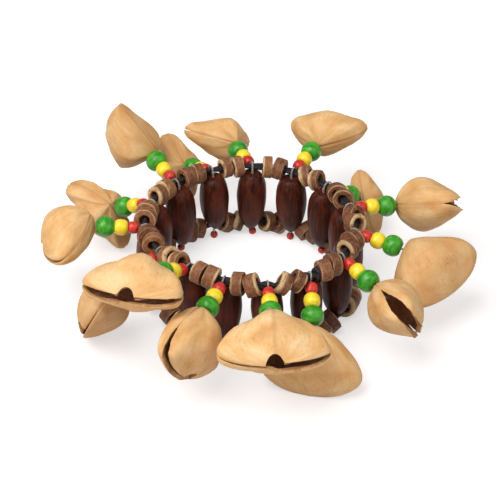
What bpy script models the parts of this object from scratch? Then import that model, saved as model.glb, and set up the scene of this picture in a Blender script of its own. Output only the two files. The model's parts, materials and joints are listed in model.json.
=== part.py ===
"""Seed pod shaker bracelet: fifteen upright seeds between two elastic cords strung with shell discs.

From the top of each seed a thread carries three painted beads and a hollow split nut-shell pod.
Metres, +Z up. The origin is on the axis of the ring, on the surface that the bracelet lies on.
"""

import math
from typing import NamedTuple

import bmesh
import bpy
from mathutils import Matrix, Vector

# Gap kept between pieces that touch on the real bracelet
CLEARANCE = 0.0003

# Ring: azimuths are in degrees, counter-clockwise from +X seen from above
SEED_COUNT = 15
FIRST_AZIMUTH = 88.0
RING_RADIUS = 0.0353
DENT_DEPTH = 0.0040
DENT_AZIMUTH = -128.0
DENT_SPREAD = 38.0

# Elastic cords and the shell discs on them, two in each space between seeds
CORD_RADIUS = 0.0010
DISC_RADIUS = 0.0039
DISC_THICKNESS = 0.0036
DISC_GAP = 0.0004
DISC_EDGE = 0.00005

# Seeds: radii at heights measured down from the flat top
SEED_LENGTH = 0.0205
SEED_TOP_RADIUS = 0.0023
SEED_SHOULDER_RADIUS = 0.0025
SEED_RADIUS = 0.0050
SEED_TIP_RADIUS = 0.0008
SEED_SHOULDER_DROP = 0.0026
SEED_BELLY_AT = 0.30
SEED_LOWER_AT = 0.64
SEED_LOWER_SHARE = 0.84

# Threads and painted beads; a thread turns over the cord through these angles from outward, in degrees
THREAD_RADIUS = 0.0005
BIGHT_TURNS = (105.0, 35.0)
RED_RADIUS = 0.0021
RED_LENGTH = 0.0036
YELLOW_RADIUS = 0.0026
YELLOW_LENGTH = 0.0044
GREEN_RADIUS = 0.0036
GREEN_LENGTH = 0.0058
STOPPER_RADIUS = 0.0019
STOPPER_LENGTH = 0.0029
STOPPER_FLAT_RADIUS = 0.0012
STOPPER_SHOULDER_SHARE = 0.25
BEAD_TO_BIGHT = 0.0001
BEAD_GAP = 0.0002
BEAD_FLAT_SHARE = 0.50
BEAD_SHOULDER_SHARE = 0.92
BEAD_SHOULDER_AT = 0.28
KNOT_RADIUS = 0.0013
KNOT_LENGTH = 0.0024
KNOT_END_SHARE = 0.6

# Pods: apex to mouth, tip to tip and valve to valve
POD_LENGTH = 0.0220
POD_WIDTH = 0.0330
POD_THICKNESS = 0.0180
POD_WALL = 0.0016
POD_BORE_RADIUS = 0.0009
POD_NECK = 0.0060
MOUTH_GAPE = 0.0020
SLOT_WIDTH = 0.0006
SLOT_START_SHARE = 0.5
SLOT_OVERREACH = 1.2
NOTCH_RADIUS = 0.0028
NOTCH_INSET_SHARE = -0.35

# Curves of a pod's outline: where it is widest and thickest, and how full its sides,
# lips and valves are, and how far a valve falls in between its middle and its tips
WIDEST_AT = 0.74
WIDTH_RISE = 0.44
SIDE_FULLNESS = 0.85
LIP_FALL = 1.7
LIP_FULLNESS = 0.6
THICKEST_AT = 0.44
BACK_FULLNESS = 0.65
VALVE_PEAK = 1.15
FLANK_DIP = 0.18

# Knot tied in the upper elastic
ELASTIC_KNOT_SEED = 6
ELASTIC_KNOT_RADIUS = 0.0017

# Facets round each kind of piece
TUBE_RESOLUTION = 2
SEED_SIDES = 8
POD_SIDES = 12
POD_RINGS = 6
CAVITY_SIDES = 8
CAVITY_RINGS = 4
BORE_SIDES = 5
NOTCH_SIDES = 6
KNOT_SIDES = 8
KNOT_RINGS = 6
SHARP_ANGLE = 50.0

PITCH = 360.0 / SEED_COUNT
BIGHT_RADIUS = CORD_RADIUS + CLEARANCE + THREAD_RADIUS
SEED_AXIS_RADIUS = RING_RADIUS - BIGHT_RADIUS
LOWER_CORD_HEIGHT = max(DISC_RADIUS, STOPPER_LENGTH + CORD_RADIUS) + CLEARANCE
SEED_BASE = LOWER_CORD_HEIGHT + CORD_RADIUS + CLEARANCE
SEED_TOP = SEED_BASE + SEED_LENGTH
UPPER_CORD_HEIGHT = SEED_TOP + CORD_RADIUS + CLEARANCE
BEADS_START = BIGHT_RADIUS + THREAD_RADIUS + BEAD_TO_BIGHT
RED_CENTRE = BEADS_START + RED_LENGTH / 2
YELLOW_CENTRE = RED_CENTRE + (RED_LENGTH + YELLOW_LENGTH) / 2 + BEAD_GAP
GREEN_CENTRE = YELLOW_CENTRE + (YELLOW_LENGTH + GREEN_LENGTH) / 2 + BEAD_GAP
APEX_DISTANCE = GREEN_CENTRE + GREEN_LENGTH / 2 + CLEARANCE
NOD_DISTANCE = APEX_DISTANCE + POD_NECK


class Dangle(NamedTuple):
    """How one thread and its pod lie: compass and height angles in degrees, and the pod's size factor."""

    thread_azimuth: float
    thread_height: float
    pod_azimuth: float
    pod_height: float
    pod_roll: float
    size: float


# Clockwise from the back of the ring
DANGLES = (
    Dangle(113, -6, 122, -17, 27, 0.85),
    Dangle(61, 4, 72, 2, -8, 0.87),
    Dangle(38, -38, 78, -34, 70, 0.72),
    Dangle(16, -8, 8, -4, -35, 1.00),
    Dangle(-19, -10, -44, -34, 202, 1.00),
    Dangle(-52, -8, -45, -26, -53, 0.95),
    Dangle(-88, -33, -102, -66, 182, 0.99),
    Dangle(-87, -1, -88, 0, 0, 1.05),
    Dangle(-112, -4, -106, -46, -78, 1.02),
    Dangle(-130, 22, -107, 9, 2, 1.00),
    Dangle(-149, -31, -126, -25, 58, 0.92),
    Dangle(-177, 5, -163, -32, 8, 0.90),
    Dangle(146, -26, 125, -46, 70, 0.90),
    Dangle(122, 8, 150, 6, 80, 0.93),
    Dangle(124, -25, 112, -38, 85, 0.82),
)

MATERIALS = {
    "elastic": ((0.011, 0.008, 0.010), 0.80),
    "shell_disc": ((0.150, 0.070, 0.036), 0.65),
    "seed": ((0.045, 0.012, 0.008), 0.30),
    "painted_wood": ((0.030, 0.330, 0.045), 0.25),
    "nut_shell": ((0.720, 0.430, 0.200), 0.55),
}


def clear_scene():
    """Removes every object of the opening scene."""
    for found in list(bpy.data.objects):
        bpy.data.objects.remove(found, do_unlink=True)


def make_material(name):
    """Makes one Principled material with its colour and roughness."""
    colour, roughness = MATERIALS[name]
    material = bpy.data.materials.new(name)
    material.use_nodes = True
    shader = material.node_tree.nodes["Principled BSDF"]
    shader.inputs["Base Color"].default_value = (*colour, 1.0)
    shader.inputs["Roughness"].default_value = roughness
    shader.inputs["Metallic"].default_value = 0.0
    return material


def make_collection(name):
    """Makes a collection in the scene."""
    collection = bpy.data.collections.new(name)
    bpy.context.scene.collection.children.link(collection)
    return collection


def add_object(name, data, collection, material=None):
    """Adds an object that holds this mesh or curve."""
    made = bpy.data.objects.new(name, data)
    collection.objects.link(made)
    if material:
        data.materials.append(material)
    return made


def mesh_from(name, shape):
    """Turns a bmesh into a smooth-shaded mesh and frees it."""
    mesh = bpy.data.meshes.new(name)
    shape.to_mesh(mesh)
    shape.free()
    mesh.shade_smooth()
    mesh.set_sharp_from_angle(angle=math.radians(SHARP_ANGLE))
    return mesh


def direction(azimuth, height):
    """The unit vector at this azimuth and height, in degrees."""
    flat = math.cos(math.radians(height))
    turn = math.radians(azimuth)
    return Vector((flat * math.cos(turn), flat * math.sin(turn), math.sin(math.radians(height))))


def dent(azimuth):
    """How far the ring is pushed in at this azimuth."""
    away = (azimuth - DENT_AZIMUTH + 180.0) % 360.0 - 180.0
    return DENT_DEPTH * math.exp(-((away / DENT_SPREAD) ** 2))


def ring_point(azimuth, radius, height):
    """A point of the dented ring, whose undented radius is given."""
    return direction(azimuth, 0.0) * (radius - dent(azimuth)) + Vector((0.0, 0.0, height))


def seed_azimuth(index):
    """The azimuth of a seed, counting clockwise from the first."""
    return FIRST_AZIMUTH - PITCH * index


def strung_curve(name, beads_on_path, cyclic):
    """Makes a tube along points that each have their own radius: what is strung on it swells out of it."""
    curve = bpy.data.curves.new(name, "CURVE")
    curve.dimensions = "3D"
    curve.bevel_depth = 1.0
    curve.bevel_resolution = TUBE_RESOLUTION
    curve.use_fill_caps = True
    curve.twist_mode = "Z_UP" if cyclic else "MINIMUM"
    spline = curve.splines.new("POLY")
    spline.points.add(len(beads_on_path) - 1)
    for point, (place, radius) in zip(spline.points, beads_on_path):
        point.co = (*place, 1.0)
        point.radius = radius
    spline.use_cyclic_u = cyclic
    return curve


def disc_pair_stations():
    """Distances along the cord from the middle of a space to each change of radius of its two discs."""
    near = DISC_GAP / 2
    far = near + DISC_THICKNESS
    return (
        (-far - DISC_EDGE, CORD_RADIUS),
        (-far, DISC_RADIUS),
        (-near, DISC_RADIUS),
        (0.0, CORD_RADIUS),
        (near, DISC_RADIUS),
        (far, DISC_RADIUS),
        (far + DISC_EDGE, CORD_RADIUS),
    )


def disc_cord(name, height, collection, material):
    """One elastic cord with the shell discs that it carries, two in each space between seeds."""
    path = []
    for index in range(SEED_COUNT):
        middle = seed_azimuth(index) - PITCH / 2
        radius = RING_RADIUS - dent(middle)
        for along, swell in disc_pair_stations():
            azimuth = middle - math.degrees(along / radius)
            path.append((ring_point(azimuth, RING_RADIUS, height), swell))
    return add_object(name, strung_curve(name, path, True), collection, material)


def seed_profile():
    """Radius and height of a seed with its thread and stopper bead, from the top down."""
    top = SEED_TOP
    belly = SEED_LENGTH - SEED_SHOULDER_DROP
    stopper_shoulder = STOPPER_LENGTH * STOPPER_SHOULDER_SHARE
    return (
        (0.0, UPPER_CORD_HEIGHT),
        (THREAD_RADIUS, UPPER_CORD_HEIGHT),
        (THREAD_RADIUS, top),
        (SEED_TOP_RADIUS, top),
        (SEED_SHOULDER_RADIUS, top - SEED_SHOULDER_DROP),
        (SEED_RADIUS, top - SEED_SHOULDER_DROP - SEED_BELLY_AT * belly),
        (SEED_RADIUS * SEED_LOWER_SHARE, top - SEED_SHOULDER_DROP - SEED_LOWER_AT * belly),
        (SEED_TIP_RADIUS, SEED_BASE),
        (THREAD_RADIUS, SEED_BASE),
        (THREAD_RADIUS, STOPPER_LENGTH),
        (STOPPER_RADIUS, STOPPER_LENGTH - stopper_shoulder),
        (STOPPER_RADIUS, stopper_shoulder),
        (STOPPER_FLAT_RADIUS, 0.0),
        (0.0, 0.0),
    )


def seed(index, collection, material):
    """A seed, turned about its upright axis, with the thread through it and the stopper bead under it."""
    shape = bmesh.new()
    corners = [shape.verts.new((radius, 0.0, height)) for radius, height in seed_profile()]
    for above, below in zip(corners, corners[1:]):
        shape.edges.new((above, below))
    name = f"seed_{index + 1:02d}"
    made = add_object(name, mesh_from(name, shape), collection, material)
    azimuth = seed_azimuth(index)
    made.location = ring_point(azimuth, SEED_AXIS_RADIUS, 0.0)
    made.rotation_euler.z = math.radians(azimuth)
    screw = made.modifiers.new("turned", "SCREW")
    screw.steps = screw.render_steps = SEED_SIDES
    screw.use_merge_vertices = True
    screw.merge_threshold = 0.00001
    screw.use_smooth_shade = True
    return made


def bead_stations(centre, radius, length):
    """Distances along the thread and radii of a painted bead, which is round with flats at its hole."""
    return [
        (centre - length / 2, radius * BEAD_FLAT_SHARE),
        (centre - length * BEAD_SHOULDER_AT, radius * BEAD_SHOULDER_SHARE),
        (centre + length * BEAD_SHOULDER_AT, radius * BEAD_SHOULDER_SHARE),
        (centre + length / 2, radius * BEAD_FLAT_SHARE),
    ]


def bead_string(index, collection, material):
    """The thread of one dangle: a bight over the upper cord, three beads and the knot inside the pod."""
    dangle = DANGLES[index]
    azimuth = seed_azimuth(index)
    crossing = ring_point(azimuth, RING_RADIUS, UPPER_CORD_HEIGHT)
    along = direction(dangle.thread_azimuth, dangle.thread_height)
    outward = direction(azimuth, 0.0)
    path = []
    for turn in BIGHT_TURNS:
        arm = outward * math.cos(math.radians(turn)) + Vector((0.0, 0.0, math.sin(math.radians(turn))))
        path.append((arm * BIGHT_RADIUS, THREAD_RADIUS))
    stations = [(BEADS_START - DISC_EDGE, THREAD_RADIUS)]
    for centre, radius, length in (
        (RED_CENTRE, RED_RADIUS, RED_LENGTH),
        (YELLOW_CENTRE, YELLOW_RADIUS, YELLOW_LENGTH),
        (GREEN_CENTRE, GREEN_RADIUS, GREEN_LENGTH),
    ):
        stations += bead_stations(centre, radius, length)
    stations += [
        (APEX_DISTANCE - CLEARANCE / 2, THREAD_RADIUS),
        (NOD_DISTANCE - KNOT_LENGTH / 2, THREAD_RADIUS),
        (NOD_DISTANCE, KNOT_RADIUS),
        (NOD_DISTANCE + KNOT_LENGTH / 2, KNOT_RADIUS * KNOT_END_SHARE),
    ]
    path += [(along * distance, radius) for distance, radius in stations]
    name = f"bead_string_{index + 1:02d}"
    made = add_object(name, strung_curve(name, path, False), collection, material)
    made.location = crossing
    return made


def pod_half_width(share):
    """Half-width of a pod at a share of its length from apex to mouth, against its greatest half-width."""
    if share < WIDEST_AT:
        rise = math.sin(WIDTH_RISE * math.pi * share / WIDEST_AT) / math.sin(WIDTH_RISE * math.pi)
        return rise**SIDE_FULLNESS
    past = (share - WIDEST_AT) / (1.0 - WIDEST_AT)
    return max(0.0, 1.0 - past**LIP_FALL) ** LIP_FULLNESS


def pod_half_thickness(share):
    """Half-thickness of a pod at a share of its length, against its greatest half-thickness."""
    power = math.log(0.5) / math.log(THICKEST_AT)
    return max(0.0, math.sin(math.pi * share**power)) ** BACK_FULLNESS


def pod_form(length, width, thickness, sides, rings):
    """A closed clam-like form: apex at the origin, mouth at +Y, wide along X and thick along Z."""
    shape = bmesh.new()
    bmesh.ops.create_uvsphere(shape, u_segments=sides, v_segments=rings, radius=1.0)
    for vert in shape.verts:
        share = (1.0 - vert.co.z) / 2
        around = math.atan2(vert.co.y, vert.co.x)
        lift = math.sin(around)
        dip = 1.0 - FLANK_DIP * math.sin(math.pi * math.cos(around)) ** 2
        vert.co = (
            width / 2 * pod_half_width(share) * math.cos(around),
            length * share,
            thickness / 2 * pod_half_thickness(share) * dip * math.copysign(abs(lift) ** VALVE_PEAK, lift),
        )
    return shape


def pod_pose(index):
    """The placed frame of a pod: its apex, with Y along the pod and Z across its split."""
    dangle = DANGLES[index]
    crossing = ring_point(seed_azimuth(index), RING_RADIUS, UPPER_CORD_HEIGHT)
    nod = crossing + direction(dangle.thread_azimuth, dangle.thread_height) * NOD_DISTANCE
    forward = direction(dangle.pod_azimuth, dangle.pod_height)
    side = direction(dangle.pod_azimuth - 90.0, 0.0)
    axes = Matrix((side, forward, side.cross(forward))).transposed()
    turn = Matrix.Rotation(math.radians(dangle.pod_roll), 3, "Y")
    return Matrix.Translation(nod - forward * POD_NECK) @ (axes @ turn).to_4x4()


def slot_wedge(length, width):
    """The gap between the two valves: thin at its start and open to the gape at the mouth."""
    shape = bmesh.new()
    bmesh.ops.create_cube(shape, size=1.0)
    start = length * SLOT_START_SHARE
    reach = length - start + MOUTH_GAPE
    for vert in shape.verts:
        height = MOUTH_GAPE if vert.co.y > 0 else SLOT_WIDTH
        across = vert.co.x * width * SLOT_OVERREACH
        vert.co = (across, start + (vert.co.y + 0.5) * reach, vert.co.z * height)
    return shape


def notch_plug(length, thickness):
    """The sound notch drilled through the middle of the upper lip."""
    shape = bmesh.new()
    place = Matrix.Translation((0.0, length - NOTCH_RADIUS * NOTCH_INSET_SHARE, thickness / 4))
    bmesh.ops.create_cone(
        shape, cap_ends=True, segments=NOTCH_SIDES, radius1=NOTCH_RADIUS, radius2=NOTCH_RADIUS,
        depth=thickness / 2, matrix=place,
    )
    return shape


def thread_bore(index):
    """The hole at the apex, along the thread, ending inside the hollow of the pod."""
    dangle = DANGLES[index]
    along = direction(dangle.thread_azimuth, dangle.thread_height)
    crossing = ring_point(seed_azimuth(index), RING_RADIUS, UPPER_CORD_HEIGHT)
    start = crossing + along * (APEX_DISTANCE - POD_NECK)
    shape = bmesh.new()
    place = Matrix.Translation((start + crossing + along * NOD_DISTANCE) / 2)
    turn = along.to_track_quat("Z", "Y").to_matrix().to_4x4()
    bmesh.ops.create_cone(
        shape, cap_ends=True, segments=BORE_SIDES, radius1=POD_BORE_RADIUS, radius2=POD_BORE_RADIUS,
        depth=2 * POD_NECK, matrix=place @ turn,
    )
    return shape


def cut(target, cutter_name, shape, collection, matrix):
    """Takes a shape away from an object with a Boolean modifier."""
    cutter = add_object(f"{target.name}_{cutter_name}", mesh_from(cutter_name, shape), collection)
    cutter.matrix_world = matrix
    cutter.hide_render = True
    cutter.display_type = "WIRE"
    boolean = target.modifiers.new(cutter_name, "BOOLEAN")
    boolean.operation = "DIFFERENCE"
    boolean.solver = "EXACT"
    boolean.object = cutter


def pod(index, collection, cutters, material):
    """A hollow pod with its split mouth, the notch in its lip and the bore for its thread."""
    size = DANGLES[index].size
    length, width, thickness = POD_LENGTH * size, POD_WIDTH * size, POD_THICKNESS * size
    name = f"pod_{index + 1:02d}"
    form = pod_form(length, width, thickness, POD_SIDES, POD_RINGS)
    made = add_object(name, mesh_from(name, form), collection, material)
    pose = pod_pose(index)
    made.matrix_world = pose
    hollow = pod_form(
        length - 2 * POD_WALL, width - 2 * POD_WALL, thickness - 2 * POD_WALL, CAVITY_SIDES, CAVITY_RINGS
    )
    bmesh.ops.translate(hollow, verts=hollow.verts, vec=(0.0, POD_WALL, 0.0))
    cut(made, "hollow", hollow, cutters, pose)
    cut(made, "slot", slot_wedge(length, width), cutters, pose)
    cut(made, "notch", notch_plug(length, thickness), cutters, pose)
    cut(made, "bore", thread_bore(index), cutters, Matrix())
    return made


def elastic_knot(collection, material):
    """The knot of the upper elastic, on top of it between a seed's thread and the next disc."""
    azimuth = seed_azimuth(ELASTIC_KNOT_SEED)
    radius = RING_RADIUS - dent(azimuth - PITCH / 2)
    thread_side = THREAD_RADIUS + CLEARANCE
    disc_side = math.radians(PITCH / 2) * radius - disc_pair_stations()[-1][0] - CLEARANCE
    azimuth -= math.degrees((thread_side + disc_side) / 2 / radius)
    shape = bmesh.new()
    bmesh.ops.create_uvsphere(
        shape, u_segments=KNOT_SIDES, v_segments=KNOT_RINGS, radius=ELASTIC_KNOT_RADIUS
    )
    squash = (disc_side - thread_side) / (2 * ELASTIC_KNOT_RADIUS)
    bmesh.ops.scale(shape, vec=(1.0, squash, 1.0), verts=shape.verts)
    made = add_object("elastic_knot", mesh_from("elastic_knot", shape), collection, material)
    inset = CORD_RADIUS + CLEARANCE + ELASTIC_KNOT_RADIUS
    made.location = ring_point(azimuth, RING_RADIUS, UPPER_CORD_HEIGHT + inset)
    made.rotation_euler.z = math.radians(azimuth)
    return made


def main():
    """Builds the bracelet."""
    clear_scene()
    parts = make_collection("seed_pod_shaker_bracelet")
    cutters = make_collection("cutters")
    cutters.hide_render = True
    materials = {name: make_material(name) for name in MATERIALS}
    disc_cord("upper_cord", UPPER_CORD_HEIGHT, parts, materials["shell_disc"])
    disc_cord("lower_cord", LOWER_CORD_HEIGHT, parts, materials["shell_disc"])
    elastic_knot(parts, materials["elastic"])
    for index in range(SEED_COUNT):
        seed(index, parts, materials["seed"])
        bead_string(index, parts, materials["painted_wood"])
        pod(index, parts, cutters, materials["nut_shell"])


if __name__ == "__main__":
    main()
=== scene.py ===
"""Looks of a seed pod shaker bracelet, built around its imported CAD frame.

Upright dark seeds stand between two black elastics strung with coconut-shell discs. From the top of each
seed a nylon thread carries a red, a yellow and a green wooden bead and a hollow split nut-shell pod.
"""

import json
import logging
import math
import random
from dataclasses import dataclass, field
from enum import Enum
from typing import Callable, Iterable, Sequence

import bmesh
import bpy
from mathutils import Matrix, Vector, noise
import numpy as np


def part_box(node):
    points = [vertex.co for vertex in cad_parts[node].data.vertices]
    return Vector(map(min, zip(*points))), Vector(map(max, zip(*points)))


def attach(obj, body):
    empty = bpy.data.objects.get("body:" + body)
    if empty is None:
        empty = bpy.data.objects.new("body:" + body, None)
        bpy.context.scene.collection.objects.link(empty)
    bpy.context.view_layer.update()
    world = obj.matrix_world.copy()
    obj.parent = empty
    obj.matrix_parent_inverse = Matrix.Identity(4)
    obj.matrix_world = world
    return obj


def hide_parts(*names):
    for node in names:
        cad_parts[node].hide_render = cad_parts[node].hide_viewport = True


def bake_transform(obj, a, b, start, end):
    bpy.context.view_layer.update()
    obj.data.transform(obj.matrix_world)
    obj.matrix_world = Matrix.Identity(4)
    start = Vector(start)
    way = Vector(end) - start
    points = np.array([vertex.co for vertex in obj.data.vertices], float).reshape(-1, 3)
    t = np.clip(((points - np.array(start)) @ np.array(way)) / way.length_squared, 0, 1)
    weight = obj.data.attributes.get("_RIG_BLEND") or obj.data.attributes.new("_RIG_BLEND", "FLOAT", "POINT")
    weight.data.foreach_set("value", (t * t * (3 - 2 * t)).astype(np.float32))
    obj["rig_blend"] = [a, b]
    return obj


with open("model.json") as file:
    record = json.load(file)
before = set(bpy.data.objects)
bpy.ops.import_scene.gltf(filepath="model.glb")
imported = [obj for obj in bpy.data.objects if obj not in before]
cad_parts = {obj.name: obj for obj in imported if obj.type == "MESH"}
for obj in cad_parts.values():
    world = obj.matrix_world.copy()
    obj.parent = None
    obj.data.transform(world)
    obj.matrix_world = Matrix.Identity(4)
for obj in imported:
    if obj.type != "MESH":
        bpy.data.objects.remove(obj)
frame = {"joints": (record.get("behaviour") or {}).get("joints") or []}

LOG = logging.getLogger("bracelet")
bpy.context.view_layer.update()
MM = 0.001
IMAGE_SIDE = 500
Point = tuple[float, float]
Colour = tuple[float, float, float, float]
# Where the beads sit on a thread, from where it crosses the upper elastic.
RED_AT, YELLOW_AT, GREEN_AT = 4.05 * MM, 8.15 * MM, 13.35 * MM


def linear(shade: str | float) -> Colour:
    """Turns an sRGB hex value into linear colour.

    Args:
        shade: six hex digits with a leading hash, or the level of a grey for a mask, which is linear already.

    Returns:
        Linear red, green, blue and an alpha of one.
    """
    if not isinstance(shade, str):
        return (shade, shade, shade, 1.0)
    shares = [int(shade[i : i + 2], 16) / 255.0 for i in (1, 3, 5)]
    lit = [s / 12.92 if s <= 0.04045 else ((s + 0.055) / 1.055) ** 2.4 for s in shares]
    return (lit[0], lit[1], lit[2], 1.0)


NOISE, DOTS, WAVES = "ShaderNodeTexNoise", "ShaderNodeTexVoronoi", "ShaderNodeTexWave"
RAMP, MIX, BUMP, SUM = "ShaderNodeValToRGB", "ShaderNodeMix", "ShaderNodeBump", "ShaderNodeMath"
LAYER, MAPPING, RAYS = "ShaderNodeAttribute", "ShaderNodeMapping", "ShaderNodeLightPath"
# A mix node has sockets for each kind of data: these are its factor, its two colours and the colour that comes out.
FACTOR, UNDER, OVER, MIXED = 0, 6, 7, 2


def fill_sockets(tree: bpy.types.NodeTree, node: bpy.types.Node, inputs: dict) -> None:
    """Sets or links a node's sockets.

    Args:
        tree: the node's tree.
        node: the node.
        inputs: socket name or number to a value, to a hex colour, or to another node's output to link.
    """
    for key, value in inputs.items():
        if isinstance(value, bpy.types.NodeSocket):
            tree.links.new(value, node.inputs[key])
        else:
            node.inputs[key].default_value = linear(value) if isinstance(value, str) else value


def add_node(
    tree: bpy.types.NodeTree, kind: str, inputs: dict | None = None,
    stops: Sequence[tuple[float, str | float]] = (), **settings,
) -> bpy.types.Node:
    """Adds a node with its settings, its socket values, its links and its colour stops.

    Args:
        tree: the node tree that gets the node.
        kind: the node's type name.
        inputs: what its sockets get.
        stops: positions and colours, or grey levels, of a colour ramp, in rising order.
        **settings: properties of the node itself.

    Returns:
        The new node.
    """
    made = tree.nodes.new(kind)
    for name, value in settings.items():
        setattr(made, name, value)
    fill_sockets(tree, made, inputs or {})
    for i, (place, shade) in enumerate(stops):
        elements = made.color_ramp.elements
        element = elements[i] if i < len(elements) else elements.new(place)
        element.position, element.color = place, linear(shade)
    return made


def start_material(name: str) -> tuple[bpy.types.Material, bpy.types.NodeTree, bpy.types.Node]:
    """Starts a Principled material.

    Args:
        name: what the real material is.

    Returns:
        The material, its node tree and its shader node.
    """
    material = bpy.data.materials.new(name)
    material.use_nodes = True
    return material, material.node_tree, material.node_tree.nodes["Principled BSDF"]


def surface_place(tree: bpy.types.NodeTree, repeats: Sequence[float]) -> bpy.types.NodeSocket:
    """Reads the piece's own millimetre coordinates and stretches them.

    Args:
        tree: the node tree.
        repeats: pattern repeats per millimetre along each of the piece's own axes.

    Returns:
        The stretched coordinate.
    """
    place = add_node(tree, LAYER, attribute_name="grain")
    return add_node(tree, MAPPING, {"Vector": place.outputs["Vector"], "Scale": repeats}).outputs[0]


@dataclass(frozen=True)
class NutShell:
    """Nut shell, split and tumbled smooth: pale tan, half matt, with fine fibres from apex to mouth and a few pores."""

    pale: str = "#F1CB95"
    middle: str = "#E5B375"
    ruddy: str = "#D49E62"
    shade: str = "#B27844"
    pore: str = "#84522E"
    # The seam colour is painted shade in the groove of the shut seam and down the keel.
    seam: str = "#9C6434"
    fibre_width_mm: float = 0.55
    fibre_length_mm: float = 10.0
    pore_spacing_mm: float = 2.6
    cloud_mm: float = 7.0
    meal_mm: float = 0.45

    def make(self) -> bpy.types.Material:
        """Makes the material of the outer shell.

        Returns:
            The material.
        """
        material, tree, shader = start_material("nut_shell_tumbled")
        across, along = 1.0 / self.fibre_width_mm, 1.0 / self.fibre_length_mm
        fibres, clouds, meal = (
            add_node(tree, NOISE, {
                "Vector": surface_place(tree, repeats), "Scale": 1.0, "Detail": detail, "Roughness": fineness,
            }).outputs[0]
            for repeats, detail, fineness in (
                ((across, along, across), 5.0, 0.6),
                ([1.0 / self.cloud_mm] * 3, 4.0, 0.55),
                ([1.0 / self.meal_mm] * 3, 3.0, 0.7),
            )
        )
        dots = surface_place(tree, [1.0 / self.pore_spacing_mm] * 3)
        pores = add_node(tree, DOTS, {"Vector": dots, "Scale": 1.0}).outputs
        tone, seam = (add_node(tree, LAYER, attribute_name=name).outputs["Fac"] for name in ("tone", "seam"))
        colour, streak, mealy, near, some, rough = (
            add_node(tree, RAMP, {0: source}, stops).outputs[0]
            for source, stops in (
                (clouds, ((0.28, self.ruddy), (0.44, self.middle), (0.64, self.pale))),
                (fibres, ((0.30, 0.30), (0.47, 0.03), (0.60, 0.0), (0.78, 0.16))),
                (meal, ((0.34, 0.22), (0.52, 0.0))),
                (pores["Distance"], ((0.04, 0.6), (0.12, 0.0))),
                (pores["Color"], ((0.60, 0.0), (0.66, 1.0))),
                (fibres, ((0.3, 0.72), (0.7, 0.56))),
            )
        )
        dot = add_node(tree, SUM, {0: near, 1: some}, operation="MULTIPLY").outputs[0]
        # The tone mask holds each pod's own browner tone, a darker apex and painted shade towards the split; the seam
        # mask paints shade into the groove of the shut seam and down the keel.
        for mask, tint in (
            (tone, self.shade), (streak, self.shade), (mealy, self.shade), (dot, self.pore), (seam, self.seam),
        ):
            colour = add_node(tree, MIX, {FACTOR: mask, UNDER: colour, OVER: tint}, data_type="RGBA").outputs[MIXED]
        relief: dict = {}
        for height, strength, depth_mm in ((fibres, 0.3, 0.2), (clouds, 0.45, 0.9), (meal, 0.25, 0.12)):
            bump = {"Height": height, "Strength": strength, "Distance": depth_mm * MM}
            relief = {"Normal": add_node(tree, BUMP, bump | relief).outputs[0]}
        fill_sockets(tree, shader, {"Base Color": colour, "Roughness": rough, "Specular IOR Level": 0.32} | relief)
        return material


@dataclass(frozen=True)
class RawWall:
    """Broken edge or inner wall of a nut shell: unpolished, fibrous and darker than the outside."""

    name: str
    light: str
    dark: str
    grain_mm: float = 0.8

    def make(self) -> bpy.types.Material:
        """Makes the material of an unpolished face.

        Returns:
            The material.
        """
        material, tree, shader = start_material(self.name)
        repeat = 1.0 / self.grain_mm
        grains = add_node(tree, NOISE, {
            "Vector": surface_place(tree, (repeat, repeat * 0.5, repeat)), "Scale": 1.0, "Detail": 4.0,
            "Roughness": 0.7,
        }).outputs[0]
        fill_sockets(tree, shader, {
            "Base Color": add_node(tree, RAMP, {0: grains}, ((0.3, self.dark), (0.7, self.light))).outputs[0],
            "Normal": add_node(tree, BUMP, {"Height": grains, "Strength": 0.5, "Distance": 0.3 * MM}).outputs[0],
            "Roughness": 0.85, "Specular IOR Level": 0.2,
        })
        return material


@dataclass(frozen=True)
class SeedCoat:
    """Waxed seed coat: near-black brown with red-brown streaks along the seed and a satin sheen."""

    dark: str = "#240D07"
    middle: str = "#482015"
    red: str = "#72321E"
    worn: str = "#735144"
    streak_width_mm: float = 0.8
    streak_length_mm: float = 12.0
    patches_per_mm: tuple[float, float, float] = (0.16, 0.16, 0.09)

    def make(self) -> bpy.types.Material:
        """Makes the material of the seeds.

        Returns:
            The material.
        """
        material, tree, shader = start_material("seed_coat_waxed")
        across, along = 1.0 / self.streak_width_mm, 1.0 / self.streak_length_mm
        streaks, patches = (
            add_node(tree, NOISE, {
                "Vector": surface_place(tree, repeats), "Scale": 1.0, "Detail": detail, "Roughness": fineness,
            }).outputs[0]
            for repeats, detail, fineness in (((across, across, along), 5.0, 0.6), (self.patches_per_mm, 3.0, 0.5))
        )
        colour, redder, rubbed, gloss = (
            add_node(tree, RAMP, {0: source}, stops).outputs[0]
            for source, stops in (
                (streaks, ((0.32, self.dark), (0.55, self.middle), (0.80, self.red))),
                (patches, ((0.46, 0.0), (0.70, 0.65))),
                (streaks, ((0.64, 0.0), (0.78, 0.4))),
                (streaks, ((0.3, 0.34), (0.75, 0.5))),
            )
        )
        for mask, tint in ((redder, self.red), (rubbed, self.worn)):
            colour = add_node(tree, MIX, {FACTOR: mask, UNDER: colour, OVER: tint}, data_type="RGBA").outputs[MIXED]
        fill_sockets(tree, shader, {
            "Base Color": colour, "Roughness": gloss, "Specular IOR Level": 0.14,
            "Normal": add_node(tree, BUMP, {"Height": streaks, "Strength": 0.35, "Distance": 0.3 * MM}).outputs[0],
        })
        return material


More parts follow.
